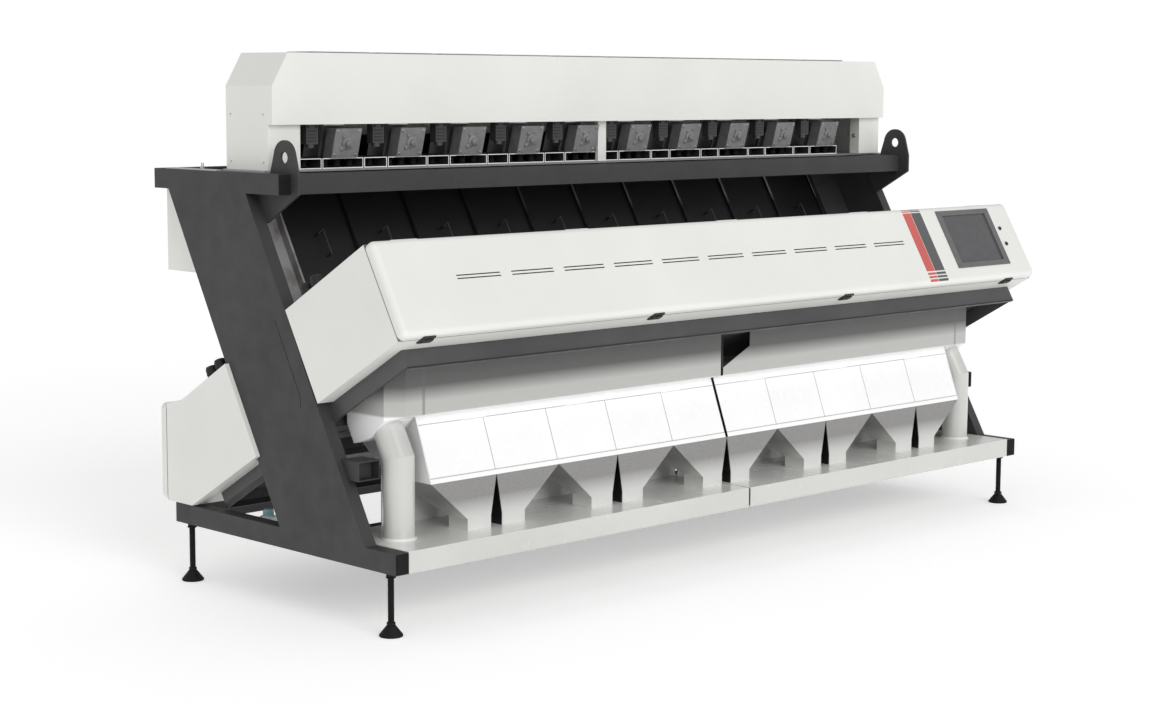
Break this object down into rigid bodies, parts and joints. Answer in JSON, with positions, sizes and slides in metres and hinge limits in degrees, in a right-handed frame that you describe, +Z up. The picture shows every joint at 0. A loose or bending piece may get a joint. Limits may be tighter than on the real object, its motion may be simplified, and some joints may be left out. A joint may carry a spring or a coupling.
{
  "type": "optical colour sorter",
  "caption": "Free-fall optical grain sorter: leaning frame, feed hood, vibrating troughs, chutes, two tilted camera boxes and a row of discharge funnels.",
  "frame": {"origin": "on the floor under the middle of the machine's overall box", "axes": "+X to the operator's right along the row of chutes, +Y to the rear, +Z up"},
  "size_m": [3.8472, 1.5558, 2.099],
  "materials": {
    "white_coat": "satin powder coat",
    "charcoal_coat": "textured powder coat",
    "bright_steel": "brushed",
    "dark_chute": "hard anodised",
    "aluminium": "anodised",
    "black_plastic": "moulded",
    "grey_plastic": "moulded",
    "screen_glass": "gloss",
    "clear_glass": "clear",
    "foot_black": "matt",
    "drive_coat": "satin"
  },
  "bodies": {
    "machine": {"base_beam_left": "charcoal_coat", "base_beam_right": "charcoal_coat", "base_rails": "charcoal_coat", "column_left": "charcoal_coat", "column_right": "charcoal_coat", "top_beam_left": "charcoal_coat", "top_beam_right": "charcoal_coat", "top_rail_front": "charcoal_coat", "top_rail_rear": "charcoal_coat", "lifting_plate_left": "charcoal_coat", "lifting_plate_right": "charcoal_coat", "hood_shell": "white_coat", "inlet_collars": "charcoal_coat", "feed_hoppers": "bright_steel", "feeder_platform": "aluminium", "feeder_bases": "white_coat", "feeder_drives": "drive_coat", "feed_rear_cover": "white_coat", "chutes": "dark_chute", "chute_handles": "bright_steel", "chute_frame": "charcoal_coat", "front_box_shell": "white_coat", "lid_hinges": "bright_steel", "rear_box_shell": "white_coat", "cameras": "black_plastic", "lamps": "clear_glass", "sight_glasses": "clear_glass", "wiper_rails": "aluminium", "ejector_bar": "aluminium", "front_guard": "charcoal_coat", "rear_guard": "charcoal_coat", "discharge_module_left": "white_coat", "discharge_module_right": "white_coat", "funnels": "bright_steel", "tray_left": "white_coat", "tray_right": "white_coat", "end_pipe_left": "white_coat", "end_pipe_right": "white_coat", "electrical_cabinet": "white_coat", "air_filter": "grey_plastic", "cable_glands": "black_plastic"},
    "front_left_foot": {"foot_front_left": "foot_black"},
    "front_right_foot": {"foot_front_right": "foot_black"},
    "rear_left_foot": {"foot_rear_left": "foot_black"},
    "rear_right_foot": {"foot_rear_right": "foot_black"},
    "troughs": {"feeder_troughs": "bright_steel"},
    "front_cover": {"front_lid": "white_coat", "screen_bezel": "grey_plastic", "touch_screen": "screen_glass"},
    "lower_button": {"button_lower": "grey_plastic"},
    "upper_button": {"button_upper": "grey_plastic"},
    "latch_1": {"lid_latch_1": "black_plastic"},
    "latch_2": {"lid_latch_2": "black_plastic"},
    "latch_3": {"lid_latch_3": "black_plastic"},
    "latch_4": {"lid_latch_4": "black_plastic"},
    "rear_cover": {"rear_lid": "white_coat"},
    "front_wiper": {"front_glass_wiper": "aluminium"},
    "rear_wiper": {"rear_glass_wiper": "aluminium"},
    "left_door": {"inspection_door_left": "white_coat"},
    "right_door": {"inspection_door_right": "white_coat"}
  },
  "joints": [
    {"name": "front_left_foot_adjust", "type": "slide", "parent": "machine", "child": "front_left_foot", "axis": [0, 0, 1], "range_m": [-0.02, 0.02]},
    {"name": "front_right_foot_adjust", "type": "slide", "parent": "machine", "child": "front_right_foot", "axis": [0, 0, 1], "range_m": [-0.02, 0.02]},
    {"name": "rear_left_foot_adjust", "type": "slide", "parent": "machine", "child": "rear_left_foot", "axis": [0, 0, 1], "range_m": [-0.02, 0.02]},
    {"name": "rear_right_foot_adjust", "type": "slide", "parent": "machine", "child": "rear_right_foot", "axis": [0, 0, 1], "range_m": [-0.02, 0.02]},
    {"name": "trough_vibration", "type": "slide", "parent": "machine", "child": "troughs", "axis": [0, 1, 0], "range_m": [-0.00075, 0.00075], "stiffness_N_per_m": 400000},
    {"name": "front_lid_hinge", "type": "hinge", "parent": "machine", "child": "front_cover", "pos_m": [0, -0.55773, 1.41654], "axis": [-1, 0, 0], "range_deg": [0, 80]},
    {"name": "lower_button_press", "type": "slide", "parent": "front_cover", "child": "lower_button", "axis": [0, 0.866, -0.5], "range_m": [0, 0.003], "stiffness_N_per_m": 600, "springref_m": -0.001},
    {"name": "upper_button_press", "type": "slide", "parent": "front_cover", "child": "upper_button", "axis": [0, 0.866, -0.5], "range_m": [0, 0.003], "stiffness_N_per_m": 600, "springref_m": -0.001},
    {"name": "latch_1_hinge", "type": "hinge", "parent": "front_cover", "child": "latch_1", "pos_m": [-1.797, -0.77238, 1.09475], "axis": [-1, 0, 0], "range_deg": [0, 95]},
    {"name": "latch_2_hinge", "type": "hinge", "parent": "front_cover", "child": "latch_2", "pos_m": [-0.622, -0.77238, 1.09475], "axis": [-1, 0, 0], "range_deg": [0, 95]},
    {"name": "latch_3_hinge", "type": "hinge", "parent": "front_cover", "child": "latch_3", "pos_m": [0.553, -0.77238, 1.09475], "axis": [-1, 0, 0], "range_deg": [0, 95]},
    {"name": "latch_4_hinge", "type": "hinge", "parent": "front_cover", "child": "latch_4", "pos_m": [1.728, -0.77238, 1.09475], "axis": [-1, 0, 0], "range_deg": [0, 95]},
    {"name": "rear_lid_hinge", "type": "hinge", "parent": "machine", "child": "rear_cover", "pos_m": [0, 0.69739, 0.71524], "axis": [1, 0, 0], "range_deg": [0, 85]},
    {"name": "front_wiper_slide", "type": "slide", "parent": "machine", "child": "front_wiper", "axis": [1, 0, 0], "range_m": [0, 0.3]},
    {"name": "rear_wiper_slide", "type": "slide", "parent": "machine", "child": "rear_wiper", "axis": [1, 0, 0], "range_m": [0, 0.3]},
    {"name": "left_door_hinge", "type": "hinge", "parent": "machine", "child": "left_door", "pos_m": [-0.81325, -0.4989, 0.72762], "axis": [-1, 0, 0], "range_deg": [0, 60]},
    {"name": "right_door_hinge", "type": "hinge", "parent": "machine", "child": "right_door", "pos_m": [0.81325, -0.4989, 0.72762], "axis": [-1, 0, 0], "range_deg": [0, 60]}
  ],
  "couplings": [
    {"joint": "rear_wiper_slide", "follows": "front_wiper_slide", "ratio": 1}
  ]
}
